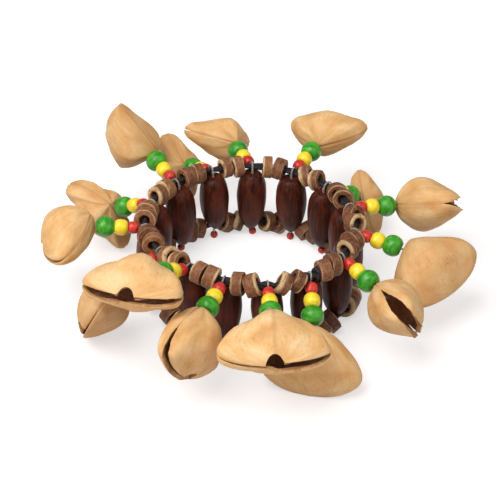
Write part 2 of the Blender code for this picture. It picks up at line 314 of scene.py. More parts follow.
@dataclass(frozen=True)
class CoconutShell:
    """Coconut shell sawn into discs and tumbled: brown with torn fibres round the rim and a paler skin at one face."""

    dark: str = "#411F12"
    brown: str = "#855335"
    light: str = "#A87449"
    pale: str = "#E8C592"
    layer_mm: float = 0.42
    fibre_mm: float = 2.6
    speck_mm: float = 1.25

    def make(self) -> bpy.types.Material:
        """Makes the material of the discs, whose own axes are across the rim, round it and along the hole.

        Returns:
            The material.
        """
        material, tree, shader = start_material("coconut_shell_sawn")
        layer, fibre = 1.0 / self.layer_mm, 1.0 / self.fibre_mm
        layers, specks = (
            add_node(tree, NOISE, {
                "Vector": surface_place(tree, repeats), "Scale": 1.0, "Detail": 5.0, "Roughness": fineness,
                "Distortion": stir,
            }).outputs[0]
            for repeats, fineness, stir in (((fibre, fibre, layer), 0.62, 0.5), ([1.0 / self.speck_mm] * 3, 0.7, 0.0))
        )
        tone, skin = (add_node(tree, LAYER, attribute_name=name).outputs["Fac"] for name in ("tone", "seam"))
        # The tone layer holds each disc's own tone, lowered by painted shade for the discs of the lower elastic.
        shifted = add_node(tree, SUM, {0: specks, 1: tone}, operation="ADD").outputs[0]
        colour, torn, fray, broken = (
            add_node(tree, RAMP, {0: source}, stops).outputs[0]
            for source, stops in (
                (shifted, ((0.18, self.dark), (0.48, self.brown), (0.78, self.light))),
                (layers, ((0.30, 0.7), (0.44, 0.0))),
                (layers, ((0.60, 0.0), (0.74, 0.5))),
                (layers, ((0.36, 0.15), (0.52, 1.0))),
            )
        )
        worn = add_node(tree, SUM, {0: skin, 1: broken}, operation="MULTIPLY").outputs[0]
        for mask, tint in ((torn, self.dark), (fray, self.pale), (worn, self.pale)):
            colour = add_node(tree, MIX, {FACTOR: mask, UNDER: colour, OVER: tint}, data_type="RGBA").outputs[MIXED]
        fill_sockets(tree, shader, {
            "Base Color": colour, "Roughness": 0.5, "Specular IOR Level": 0.35,
            "Normal": add_node(tree, BUMP, {"Height": layers, "Strength": 0.7, "Distance": 0.4 * MM}).outputs[0],
        })
        return material


@dataclass(frozen=True)
class BeadPaint:
    """Gloss paint dipped on turned wood: smooth colour that pools paler and darker, with faint turning marks."""

    name: str
    light: str
    dark: str
    blotch_mm: float = 2.4

    def make(self) -> bpy.types.Material:
        """Makes the material of one colour of bead.

        Returns:
            The material.
        """
        material, tree, shader = start_material(self.name)
        repeat = 1.0 / self.blotch_mm
        blotches = add_node(tree, NOISE, {
            "Vector": surface_place(tree, (repeat * 0.7, repeat * 0.7, repeat * 2.0)), "Scale": 1.0, "Detail": 4.0,
            "Roughness": 0.6,
        }).outputs[0]
        fill_sockets(tree, shader, {
            "Base Color": add_node(tree, RAMP, {0: blotches}, ((0.34, self.dark), (0.64, self.light))).outputs[0],
            "Normal": add_node(tree, BUMP, {"Height": blotches, "Strength": 0.3, "Distance": 0.5 * MM}).outputs[0],
            "Roughness": 0.32, "Specular IOR Level": 0.4, "Coat Weight": 0.2, "Coat Roughness": 0.2,
        })
        return material


@dataclass(frozen=True)
class Strand:
    """Cord with a fine twist: nylon is pale and lets light through, elastic is matt black."""

    name: str
    light: str
    dark: str
    roughness: float
    clear: float
    twist_mm: float = 0.8

    def make(self) -> bpy.types.Material:
        """Makes the material, with the twist drawn coarser than the real one so that it shows.

        Returns:
            The material.
        """
        material, tree, shader = start_material(self.name)
        turns = add_node(tree, WAVES, {
            "Vector": surface_place(tree, (1.0 / self.twist_mm, 0.0, 0.45 / self.twist_mm)), "Scale": 0.5,
            "Distortion": 0.6,
        }, bands_direction="DIAGONAL").outputs[0]
        fill_sockets(tree, shader, {
            "Base Color": add_node(tree, RAMP, {0: turns}, ((0.1, self.dark), (0.8, self.light))).outputs[0],
            "Normal": add_node(tree, BUMP, {"Height": turns, "Strength": 0.5, "Distance": 0.15 * MM}).outputs[0],
            "Roughness": self.roughness, "Transmission Weight": self.clear,
        })
        return material


@dataclass(frozen=True)
class Finishes:
    """Every finish of the bracelet, made once."""

    shell: bpy.types.Material
    shell_inside: bpy.types.Material
    shell_edge: bpy.types.Material
    seed: bpy.types.Material
    disc: bpy.types.Material
    red: bpy.types.Material
    yellow: bpy.types.Material
    green: bpy.types.Material
    nylon: bpy.types.Material
    elastic: bpy.types.Material

    @classmethod
    def mix(cls) -> "Finishes":
        """Makes all the materials.

        Returns:
            The finishes.
        """
        return cls(
            shell=NutShell().make(),
            shell_inside=RawWall("nut_shell_inside", "#E3B48C", "#A87452").make(),
            shell_edge=RawWall("nut_shell_edge", "#D2A66F", "#8F6038").make(),
            seed=SeedCoat().make(),
            disc=CoconutShell().make(),
            red=BeadPaint("red_gloss_paint", "#DB3C2E", "#AE1B17").make(),
            yellow=BeadPaint("yellow_gloss_paint", "#FFEA3E", "#F0C81C").make(),
            green=BeadPaint("green_gloss_paint", "#4FB02A", "#127312").make(),
            nylon=Strand("nylon_thread", "#E8DED6", "#C2B4A9", 0.30, 0.6).make(),
            elastic=Strand("black_elastic", "#2A2226", "#0E0B0D", 0.75, 0.0, 0.9).make(),
        )


def direction(azimuth: float, height: float) -> Vector:
    """Finds the unit vector at an azimuth and a height.

    Args:
        azimuth: degrees round from X.
        height: degrees above the level.

    Returns:
        The vector.
    """
    flat = math.cos(math.radians(height))
    turn = math.radians(azimuth)
    return Vector((flat * math.cos(turn), flat * math.sin(turn), math.sin(math.radians(height))))


def upright_frame(origin: Vector, axis: Vector, turn: float = 0.0) -> Matrix:
    """Makes a frame whose Z lies along an axis.

    Args:
        origin: where the frame sits.
        axis: the direction of its Z.
        turn: degrees about that axis.

    Returns:
        The placing matrix.
    """
    turned = axis.to_track_quat("Z", "Y").to_matrix().to_4x4()
    return Matrix.Translation(origin) @ turned @ Matrix.Rotation(math.radians(turn), 4, "Z")


def chance_lean(chance: random.Random, most: float) -> Matrix:
    """Leans a piece about X and then Y by chance, each by so many degrees at most."""
    about_x, about_y = (math.radians(chance.uniform(-most, most)) for _ in range(2))
    return Matrix.Rotation(about_x, 4, "X") @ Matrix.Rotation(about_y, 4, "Y")


def pattern_place(chance: random.Random, reach: float = 90.0) -> Vector:
    """Picks a place in a pattern by chance, in millimetres."""
    return Vector([chance.uniform(-reach, reach) for _ in range(3)])


def raised(height: float) -> Vector:
    """The vector straight up to a height."""
    return Vector((0.0, 0.0, height))


def smooth_steps(share: float) -> float:
    """Eases a share from nought to one."""
    held = min(1.0, max(0.0, share))
    return held * held * (3.0 - 2.0 * held)


def bell(distance: float, width: float) -> float:
    """A bump that is one at the middle and fades over a width."""
    return math.exp(-((distance / width) ** 2))


def between(near: Sequence[Vector | float], t: float) -> Vector | float:
    """Finds a smooth curve's place between the second and the third of four values.

    Args:
        near: the four values.
        t: share of the way from the second to the third.

    Returns:
        The value there.
    """
    return 0.5 * (
        2 * near[1] + (near[2] - near[0]) * t
        + (2 * near[0] - 5 * near[1] + 4 * near[2] - near[3]) * t**2
        + (3 * near[1] - near[0] - 3 * near[2] + near[3]) * t**3
    )


def flowing(points: Sequence[Vector], per_span: int) -> list[Vector]:
    """Draws a smooth line through points.

    Args:
        points: the points in order.
        per_span: how many steps each span gets.

    Returns:
        The points of the smooth line.
    """
    last = len(points) - 1
    line: list[Vector] = []
    for i in range(last):
        near = [points[min(max(i + k, 0), last)] for k in (-1, 0, 1, 2)]
        line += [between(near, step / per_span) for step in range(per_span)]
    return line + [points[-1].copy()]


@dataclass
class Workpiece:
    """A mesh in the making, with the layers that its finish reads.

    Attributes:
        shape: the bmesh.
        shift: a place in the pattern, so that no two pieces look alike.
    """

    shape: bmesh.types.BMesh = field(default_factory=bmesh.new)
    shift: Vector = field(default_factory=Vector)

    def lathe(self, profile: Sequence[Point], steps: int) -> None:
        """Turns a profile of radius and height about Z.

        Args:
            profile: the points from one end to the other.
            steps: facets round.
        """
        verts = [self.shape.verts.new((radius, 0.0, height)) for radius, height in profile]
        edges = [self.shape.edges.new(pair) for pair in zip(verts, verts[1:])]
        bmesh.ops.spin(
            self.shape, geom=verts + edges, cent=(0, 0, 0), axis=(0, 0, 1), angle=2 * math.pi, steps=steps,
            use_merge=True,
        )
        bmesh.ops.remove_doubles(self.shape, verts=self.shape.verts, dist=1e-7)
        bmesh.ops.recalc_face_normals(self.shape, faces=self.shape.faces)

    def give_way(self, places: Sequence[Vector], radius: float, rounds: int = 4) -> None:
        """Presses a hollow where a bead knocks against the piece.

        Args:
            places: the middles of the bead as it passes, from where it lies deepest, which is pressed last.
            radius: the bead's radius with its room.
            rounds: how often all the places are pressed.
        """
        for place in reversed(list(places) * rounds):
            for vert in self.shape.verts:
                away = vert.co - place
                if away.length < radius:
                    vert.co = place + away.normalized() * radius

    def sweep(self, path: Sequence[Vector], radii: Sequence[float], sides: int, closed: bool = False) -> None:
        """Draws a round section along a path and writes where each point lies along and round it.

        Args:
            path: the middle line.
            radii: the radius at each point of it.
            sides: facets round.
            closed: whether the path is a loop.
        """
        grain = self.layer("grain")
        count = len(path)
        ring: list[bmesh.types.BMVert] = []
        first: list[bmesh.types.BMVert] = []
        along = 0.0
        across = Vector((0.0, 0.0, 1.0))
        for i, place in enumerate(path):
            ahead = path[(i + 1) % count] if closed else path[min(i + 1, count - 1)]
            behind = path[i - 1] if closed else path[max(i - 1, 0)]
            forward = (ahead - behind).normalized()
            across = across - forward * across.dot(forward)
            across = across.normalized() if across.length > 1e-6 else forward.orthogonal().normalized()
            up = forward.cross(across)
            if i:
                along += (place - path[i - 1]).length
                pairs = [(ring[k], ring[(k + 1) % sides]) for k in range(sides)]
                loop = [e for one, other in pairs for e in one.link_edges if e.other_vert(one) is other]
                grown = bmesh.ops.extrude_edge_only(self.shape, edges=loop)["geom"]
                fresh = [item for item in grown if isinstance(item, bmesh.types.BMVert)]
                ring = [min(fresh, key=lambda vert, old=old: (vert.co - old.co).length_squared) for old in ring]
            else:
                ring = bmesh.ops.create_circle(self.shape, segments=sides, radius=radii[0])["verts"]
                first = ring
            for k, vert in enumerate(ring):
                angle = 2 * math.pi * k / sides
                vert.co = place + (across * math.cos(angle) + up * math.sin(angle)) * radii[i]
                vert[grain] = Vector((along / MM, 0.0, angle * radii[i] / MM)) + self.shift
        if closed:
            loops = [e for e in self.shape.edges if e.is_boundary]
            bmesh.ops.bridge_loops(self.shape, edges=loops)
        else:
            for end in (first, ring):
                bmesh.ops.contextual_create(self.shape, geom=end)
        bmesh.ops.recalc_face_normals(self.shape, faces=self.shape.faces)

    def layer(self, name: str) -> bmesh.types.BMLayerItem:
        """The vertex layer of this name: a vector for the grain, a number for the rest."""
        layers = self.shape.verts.layers.float_vector if name == "grain" else self.shape.verts.layers.float
        return layers.get(name) or layers.new(name)

    def mark(self, tone: float = 0.0, seam: Callable[[Vector], float] | None = None) -> None:
        """Writes the piece's own coordinates in millimetres, its tone and its seam, before it is put in place.

        Args:
            tone: how far the piece's colour lies from the common one.
            seam: gives how much a point belongs to a seam or edge.
        """
        grain, tones, seams = self.layer("grain"), self.layer("tone"), self.layer("seam")
        for vert in self.shape.verts:
            vert[grain] = vert.co / MM + self.shift
            vert[tones] = tone
            vert[seams] = seam(vert.co) if seam else 0.0

    def roughen(self, amount: float, width: float) -> None:
        """Pushes points in and out by smooth noise.

        Args:
            amount: the largest push, in metres.
            width: the width of the lumps, in metres.
        """
        self.shape.normal_update()
        pushes = [noise.noise(vert.co / width + self.shift) * amount for vert in self.shape.verts]
        for vert, push in zip(self.shape.verts, pushes):
            vert.co += vert.normal * push

    def put(self, place: Matrix) -> None:
        """Moves the whole mesh to its place."""
        bmesh.ops.transform(self.shape, matrix=place, verts=self.shape.verts)

    def take(self, other: "Workpiece") -> None:
        """Adds another workpiece's mesh to this one and frees it.

        Args:
            other: the workpiece to take in.
        """
        spare = bpy.data.meshes.new("spare")
        other.shape.to_mesh(spare)
        other.shape.free()
        self.shape.from_mesh(spare)
        bpy.data.meshes.remove(spare)

    def close(
        self, name: str, materials: Sequence[bpy.types.Material], body: str, slot: str,
        nodes: Iterable[str] = (), sharp: float = 40.0, bend: tuple[str, Vector, Vector] | None = None,
    ) -> bpy.types.Object:
        """Turns the mesh into a finished piece that rides on a body.

        Args:
            name: the piece's name.
            materials: its materials in slot order.
            body: the CAD body that carries it.
            slot: the record's material slot; not used.
            nodes: CAD nodes that it stands for.
            sharp: edges steeper than this many degrees stay crisp.
            bend: the second body of a piece that bends across a joint, and where the bend starts and ends.

        Returns:
            The piece's object.
        """
        mesh = bpy.data.meshes.new(name)
        self.shape.to_mesh(mesh)
        self.shape.free()
        mesh.shade_smooth()
        mesh.set_sharp_from_angle(angle=math.radians(sharp))
        for material in materials:
            mesh.materials.append(material)
        made = bpy.data.objects.new(name, mesh)
        bpy.context.scene.collection.objects.link(made)
        if bend:
            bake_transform(made, body, bend[0], start=bend[1], end=bend[2])
        else:
            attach(made, body)
        if nodes:
            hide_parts(*nodes)
        LOG.info("%s: %d faces on %s", name, len(mesh.polygons), body)
        return made


class Level(Enum):
    """The two elastics."""

    UPPER = "upper"
    LOWER = "lower"


@dataclass
class RingPath:
    """The dented line of the elastics, read from the hinges of the frame.

    Attributes:
        crossings: where each thread crosses the upper elastic, clockwise from the back.
        threads: the direction of each thread.
        nods: where each thread ends in its pod.
        swings: the turns in degrees that each thread swings through, and the axis of its turn.
        heights: the height of each elastic's middle.
    """

    crossings: list[Vector]
    threads: list[Vector]
    nods: list[Vector]
    swings: list[tuple[float, float, Vector]]
    heights: dict[Level, float]

    @classmethod
    def read(cls) -> "RingPath":
        """Reads the threads from the hinges and the heights from the two elastics.

        Returns:
            The path.
        """
        hinges = sorted(frame["joints"], key=lambda joint: joint["name"])
        swings = [joint for joint in hinges if joint["name"].startswith("swing")]
        twists = [joint for joint in hinges if joint["name"].startswith("twist")]
        boxes = {level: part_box(f"{level.value}_cord") for level in Level}
        return cls(
            crossings=[Vector(joint["pos_m"]) for joint in swings],
            threads=[Vector(joint["axis"]).normalized() for joint in twists],
            nods=[Vector(joint["pos_m"]) for joint in twists],
            swings=[(*joint["range_deg"], Vector(joint["axis"])) for joint in swings],
            heights={level: (low.z + high.z) / 2 for level, (low, high) in boxes.items()},
        )

    def passed(self, index: int, distance: float, steps: int = 10) -> list[Vector]:
        """Finds where a bead passes as its thread swings from limit to limit.

        Args:
            index: the thread, counted from nought.
            distance: how far along the thread the bead sits.
            steps: how many places to give.

        Returns:
            The places.
        """
        index %= self.count
        low, high, axis = self.swings[index]
        turns = [math.radians(low + (high - low) * i / (steps - 1)) for i in range(steps)]
        arms = [Matrix.Rotation(turn, 3, axis) @ self.threads[index] * distance for turn in turns]
        return [self.crossings[index] + arm for arm in arms]

    @property
    def count(self) -> int:
        """How many seeds stand round the ring."""
        return len(self.crossings)

    def azimuth(self, station: float) -> float:
        """The azimuth in degrees at a station counted in seeds from the first."""
        start = math.degrees(math.atan2(self.crossings[0].y, self.crossings[0].x))
        return start - 360.0 / self.count * station

    def radius(self, station: float) -> float:
        """Finds the ring's radius at a station, eased between the seeds.

        Args:
            station: counted in seeds from the first.

        Returns:
            The radius.
        """
        index = math.floor(station)
        near = [self.crossings[(index + k) % self.count].xy.length for k in (-1, 0, 1, 2)]
        return between(near, station - index)

    def pitch(self, station: float) -> float:
        """The length along the ring from seed to seed."""
        return self.radius(station) * 2 * math.pi / self.count

    def point(self, station: float, level: Level) -> Vector:
        """A point of an elastic's middle line."""
        return direction(self.azimuth(station), 0.0) * self.radius(station) + raised(self.heights[level])

    def onward(self, station: float) -> Vector:
        """The level direction clockwise along the ring."""
        return (self.point(station + 0.01, Level.UPPER) - self.point(station - 0.01, Level.UPPER)).normalized()


@dataclass
class ElasticCord:
    """A doubled elastic: two strands that turn about each other through the discs."""

    path: RingPath
    level: Level
    strand_radius: float = 0.72 * MM
    strand_apart: float = 0.55 * MM
    turns: int = 9
    steps_per_seed: int = 16
    sides: int = 10

    def build(self, finishes: Finishes) -> None:
        """Builds and dresses both strands.

        Args:
            finishes: the bracelet's finishes.
        """
        total = self.path.count * self.steps_per_seed
        for strand in (0, 1):
            piece = Workpiece(shift=Vector((strand * 7.0, 0.0, 0.0)))
            line = []
            for i in range(total):
                station = i / self.steps_per_seed
                turn = 2 * math.pi * self.turns * i / total + math.pi * strand
                out = direction(self.path.azimuth(station), 0.0)
                sway = out * math.cos(turn) + raised(math.sin(turn))
                line.append(self.path.point(station, self.level) + sway * self.strand_apart)
            piece.sweep(line, [self.strand_radius] * total, self.sides, closed=True)
            piece.close(f"{self.level.value}_elastic_{strand + 1}", [finishes.elastic], "ring", "elastic")


@dataclass
class ElasticKnot:
    """The knot of the upper elastic: its ends are wound round it on both sides of one seed's thread and cut.

    Attributes:
        coil_swell: how wide the coil is at its ends, and how much wider in its middle, against its radius.
    """

    path: RingPath
    station: float = 6.0
    strand_radius: float = 0.85 * MM
    coil_radius: float = 1.35 * MM
    coil_swell: Point = (0.85, 0.25)
    coil_turns: float = 2.3
    coil_phase: float = 0.8
    coil_length: float = 2.6 * MM
    coil_start: float = 1.5 * MM
    coil_points: int = 24
    end_length: float = 2.6 * MM
    end_turn: float = 50.0
    end_rises: Point = (-15.0, 35.0)
    sides: int = 10

    def build(self, finishes: Finishes) -> None:
        """Builds and dresses the knot beside its seed.

        Args:
            finishes: the bracelet's finishes.
        """
        piece = Workpiece()
        pitch = self.path.pitch(self.station)
        for side, rise in zip((-1, 1), self.end_rises):
            coil = Workpiece(shift=Vector((side * 5.0, 0.0, 0.0)))
            points = []
            for i in range(self.coil_points):
                share = i / (self.coil_points - 1)
                station = self.station + side * (self.coil_start + self.coil_length * share) / pitch
                turn = 2 * math.pi * self.coil_turns * share * side + self.coil_phase
                arm = direction(self.path.azimuth(station), 0.0) * math.cos(turn) + raised(math.sin(turn))
                swell = self.coil_radius * (self.coil_swell[0] + self.coil_swell[1] * math.sin(math.pi * share))
                points.append(self.path.point(station, Level.UPPER) + arm * swell)
            reach = direction(self.path.azimuth(self.station) - self.end_turn * side, rise)
            points += [points[-1] + reach * self.end_length * share for share in (0.4, 0.75, 1.0)]
            line = flowing(points, 3)
            coil.sweep(line, [self.strand_radius] * len(line), self.sides)
            piece.take(coil)
        piece.close("elastic_knot_wound", [finishes.elastic], "ring", "elastic", ["elastic_knot"])


@dataclass
class DiscString:
    """The coconut-shell discs of one elastic, two in each space between seeds, each sawn and tilted its own way.

    Attributes:
        radii, thicknesses, corners: the least and the largest factor by which the discs differ.
        stray: how far the tips of two neighbours differ, as a share of the tip.
        passing: where the beads that swing past sit on their thread, and their radii with a little room.
    """

    path: RingPath
    level: Level
    radius: float = 3.75 * MM
    hole: float = 1.85 * MM
    countersink: float = 0.25 * MM
    thickness: float = 4.1 * MM
    gap: float = 0.35 * MM
    corner: float = 0.35 * MM
    radii: Point = (0.93, 1.03)
    thicknesses: Point = (0.76, 1.04)
    corners: Point = (0.7, 1.3)
    lumps: Point = (0.22 * MM, 2.2 * MM)
    skin_depths_mm: tuple[float, ...] = (0.2, 0.3, 0.35, 0.5, 0.7, 1.2)
    bark: float = 0.85
    bark_fade: float = 0.2 * MM
    hole_wear: float = 0.9 * MM
    edge_wears: Point = (0.3, 0.8)
    tones: tuple[float, ...] = (-0.12, -0.06, -0.02, 0.02, 0.06, 0.12)
    # Painted shade: the discs of the lower elastic are drawn darker, as they lie in shade.
    lower_shade: float = 0.14
    steps: int = 36
    tilt: float = 38.0
    stray: float = 0.4
    tries: int = 40
    bead_room: float = 0.15 * MM
    passing: tuple[Point, ...] = ((RED_AT, 2.2 * MM), (YELLOW_AT, 2.8 * MM))

    def disc(self, chance: random.Random) -> Workpiece:
        """Turns one disc about Z.

        Args:
            chance: the numbers that make it differ from the others.

        Returns:
            The disc at the origin.
        """
        piece = Workpiece(shift=pattern_place(chance))
        radius = self.radius * chance.uniform(*self.radii)
        half = self.thickness * chance.uniform(*self.thicknesses) / 2
        bevel = self.corner * chance.uniform(*self.corners)
        lower = [
            (self.hole + self.countersink, -half), ((self.hole + radius) / 2, -half), (radius - bevel, -half),
            (radius - bevel * 0.3, -half + bevel * 0.3), (radius, -half + bevel), (radius, -half * 0.55),
        ]
        upper = [(r, -height) for r, height in reversed(lower)]
        bore = [(self.hole, half - self.countersink), (self.hole, -half + self.countersink)]
        piece.lathe(lower + [(radius * 1.01, 0.0)] + upper + bore + lower[:1], self.steps)
        piece.roughen(*self.lumps)
        skin_side = chance.choice((-1, 1))
        skin_depth = chance.choice(self.skin_depths_mm) * MM
        edge_wear = chance.uniform(*self.edge_wears)

        def skin(co: Vector) -> float:
            """Tells how pale a point of the disc is worn.

            Args:
                co: the point.

            Returns:
                From nought to one.
            """
            out, up, soft = co.xy.length, abs(co.z), 0.5 * bevel
            rim = smooth_steps((out - self.hole) / self.hole_wear)
            bark = self.bark * rim * smooth_steps((co.z * skin_side - half + skin_depth) / self.bark_fade)
            edge = smooth_steps((up - half + bevel) / soft) * smooth_steps((out - radius + bevel) / soft)
            return max(bark, edge_wear * edge)

        # The lower elastic's discs get painted shade on top of their own tone.
        piece.mark(chance.choice(self.tones) - (self.lower_shade if self.level is Level.LOWER else 0.0), skin)
        return piece

    def roomy(self, middle: Vector, axis: Vector, beads: Sequence[tuple[Vector, float]]) -> bool:
        """Tells whether a disc leaves room for the beads that swing past it.

        Args:
            middle: the disc's middle.
            axis: the direction of its hole.
            beads: the places of the beads and their radii.

        Returns:
            True where every bead stays clear.
        """
        for place, radius in beads:
            away = place - middle
            along = abs(away.dot(axis)) - self.thickness / 2
            across = (away - axis * away.dot(axis)).length - self.radius
            if math.hypot(max(along, 0.0), max(across, 0.0)) < radius + self.bead_room:
                return False
        return True

    def lean_pair(self, space: int, chance: random.Random) -> list[tuple[float, Matrix]]:
        """Picks how the two discs of one space tip, so that no bead strikes them as it swings.

        Args:
            space: the space between seeds, counted from nought.
            chance: the numbers that make it differ from the others.

        Returns:
            The station and the tip of each disc.
        """
        beads: list[tuple[Vector, float]] = []
        if self.level is Level.UPPER:
            for index in (space, space + 1):
                for distance, radius in self.passing:
                    beads += [(place, radius) for place in self.path.passed(index, distance)]
        middle = space + 0.5
        pitch = self.path.pitch(middle)
        pair: list[tuple[float, Matrix]] = []
        for attempt in range(self.tries):
            reach = self.tilt * (1.0 - attempt / self.tries)
            shared = (chance.uniform(-reach, reach), chance.uniform(-reach, reach))
            clear = True
            pair = []
            for side in (-1, 1):
                station = middle + side * (self.gap + self.thickness) / 2 / pitch
                out = direction(self.path.azimuth(station), 0.0)
                turn, tip = (math.radians(s + chance.uniform(-self.stray, self.stray) * reach) for s in shared)
                lean = Matrix.Rotation(turn, 4, "Z") @ Matrix.Rotation(tip, 4, out)
                axis = lean.to_3x3() @ self.path.onward(station)
                clear = clear and self.roomy(self.path.point(station, self.level), axis, beads)
                pair.append((station, lean))
            if clear:
                break
        return pair

    def build(self, finishes: Finishes) -> None:
        """Builds and dresses all the discs of this elastic as one piece.

        Args:
            finishes: the bracelet's finishes.
        """
        chance = random.Random(11 if self.level is Level.UPPER else 23)
        whole = Workpiece()
        for space in range(self.path.count):
            for station, lean in self.lean_pair(space, chance):
                piece = self.disc(chance)
                place = upright_frame(Vector(), self.path.onward(station), chance.uniform(0, 360))
                piece.put(Matrix.Translation(self.path.point(station, self.level)) @ lean @ place)
                whole.take(piece)
        cord = f"{self.level.value}_cord"
        whole.close(f"{self.level.value}_discs", [finishes.disc], "ring", "shell_disc", [cord], 35.0)


@dataclass
class StandingSeed:
    """One upright seed with the thread through it and its stopper bead.

    Attributes:
        top_drop: how far its top lies under the middle of the upper elastic.
        hollows: where the beads that knock against it sit on their thread, and the radii of their hollows.
    """

    number: int
    profile_mm: tuple[Point, ...] = (
        (0.55, -0.25), (2.3, 0.0), (3.1, -0.3), (3.75, -1.1), (4.4, -2.5), (4.95, -4.4), (5.25, -6.8), (5.35, -9.4),
        (5.2, -12.2), (4.85, -15.0), (4.2, -17.6), (3.2, -19.8), (2.0, -21.6), (1.0, -22.6), (0.45, -22.9),
    )
    top_drop: float = 1.5 * MM
    talls: Point = (0.95, 1.05)
    steps: int = 36
    ribs: int = 9
    rib_depth: float = 0.012
    flatness: float = 0.03
    lumps: Point = (0.14 * MM, 5.0 * MM)
    lean: float = 2.0
    hollows: tuple[Point, ...] = ((RED_AT, 2.55 * MM), (YELLOW_AT, 3.05 * MM))
    stopper_height: float = 2.1 * MM
    stopper_radius: float = 1.35 * MM
    thread_radius: float = 0.4 * MM
    thread_spans: int = 8

    def build(self, finishes: Finishes, path: RingPath) -> None:
        """Builds and dresses the seed, its thread and its stopper.

        Args:
            finishes: the bracelet's finishes.
            path: the line of the elastics.
        """
        chance = random.Random(400 + self.number)
        node = f"seed_{self.number:02d}"
        low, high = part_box(node)
        foot = Vector(((low.x + high.x) / 2, (low.y + high.y) / 2, 0.0))
        cord = path.heights[Level.UPPER]
        piece = Workpiece(shift=pattern_place(chance))
        tall = chance.uniform(*self.talls)
        line = flowing([Vector((r * MM, 0.0, h * MM * tall)) for r, h in self.profile_mm], 3)
        piece.lathe([(0.0, line[0].z)] + [(p.x, p.z) for p in line] + [(0.0, line[-1].z)], self.steps)
        phase = chance.uniform(0, 6)
        for vert in piece.shape.verts:
            angle = math.atan2(vert.co.y, vert.co.x)
            ribbed = self.rib_depth * math.sin(self.ribs * angle + phase)
            swell = 1.0 + ribbed + self.flatness * math.cos(2 * angle + phase)
            vert.co.x *= swell
            vert.co.y *= swell
        piece.roughen(*self.lumps)
        piece.mark()
        lean = chance_lean(chance, self.lean)
        turn = Matrix.Rotation(chance.uniform(0, 6.28), 4, "Z")
        piece.put(Matrix.Translation(foot + raised(cord - self.top_drop)) @ lean @ turn)
        for distance, radius in self.hollows:
            piece.give_way(path.passed(self.number - 1, distance), radius)
        piece.close(f"standing_{node}", [finishes.seed], "ring", "seed", [node])
        stopper = WoodBead(self.stopper_radius, self.stopper_height, fullness=2.5).turn(chance)
        stopper.put(Matrix.Translation(foot + raised(self.stopper_height / 2)))
        stopper.close(f"stopper_{self.number:02d}", [finishes.red], "ring", "painted_wood")
        thread = Workpiece(shift=Vector((chance.uniform(0, 9), 0, 0)))
        start = self.stopper_height * 0.6
        rises = [start + (cord - start) * k / self.thread_spans for k in range(self.thread_spans + 1)]
        thread.sweep([foot + raised(rise) for rise in rises], [self.thread_radius] * len(rises), 8)
        thread.close(f"seed_thread_{self.number:02d}", [finishes.nylon], "ring", "painted_wood")


@dataclass
class WoodBead:
    """A turned and dipped wooden bead, round or barrel-like, with flats at its hole.

    Attributes:
        fullness: two for a ball, more for a barrel.
        trim: share of the full form that is left along the hole.
    """

    radius: float
    length: float
    fullness: float = 2.0
    trim: float = 0.88
    hole: float = 0.62 * MM
    mouth: float = 1.35
    mouth_from: float = 0.86
    radii: Point = (0.97, 1.03)
    lumps: Point = (0.12 * MM, 2.4 * MM)
    steps: int = 28
    rings: int = 10

    def turn(self, chance: random.Random) -> Workpiece:
        """Turns the bead about Z.

        Args:
            chance: the numbers that make it differ from the others.

        Returns:
            The bead with its middle at the origin.
        """
        piece = Workpiece(shift=pattern_place(chance, 60.0))
        half = self.length / 2
        radius = self.radius * chance.uniform(*self.radii)
        curve = []
        for i in range(self.rings + 1):
            share = -math.cos(math.pi * i / self.rings)
            swell = (1.0 - (self.trim * abs(share)) ** self.fullness) ** (1.0 / self.fullness)
            curve.append((radius * swell, half * share))
        entry = [(self.hole, -half * self.mouth_from), (self.hole * self.mouth, -half)]
        leave = [(r, -height) for r, height in reversed(entry)]
        piece.lathe(entry + curve + leave + [(self.hole, 0.0)] + entry[:1], self.steps)
        piece.roughen(*self.lumps)
        piece.mark()
        return piece


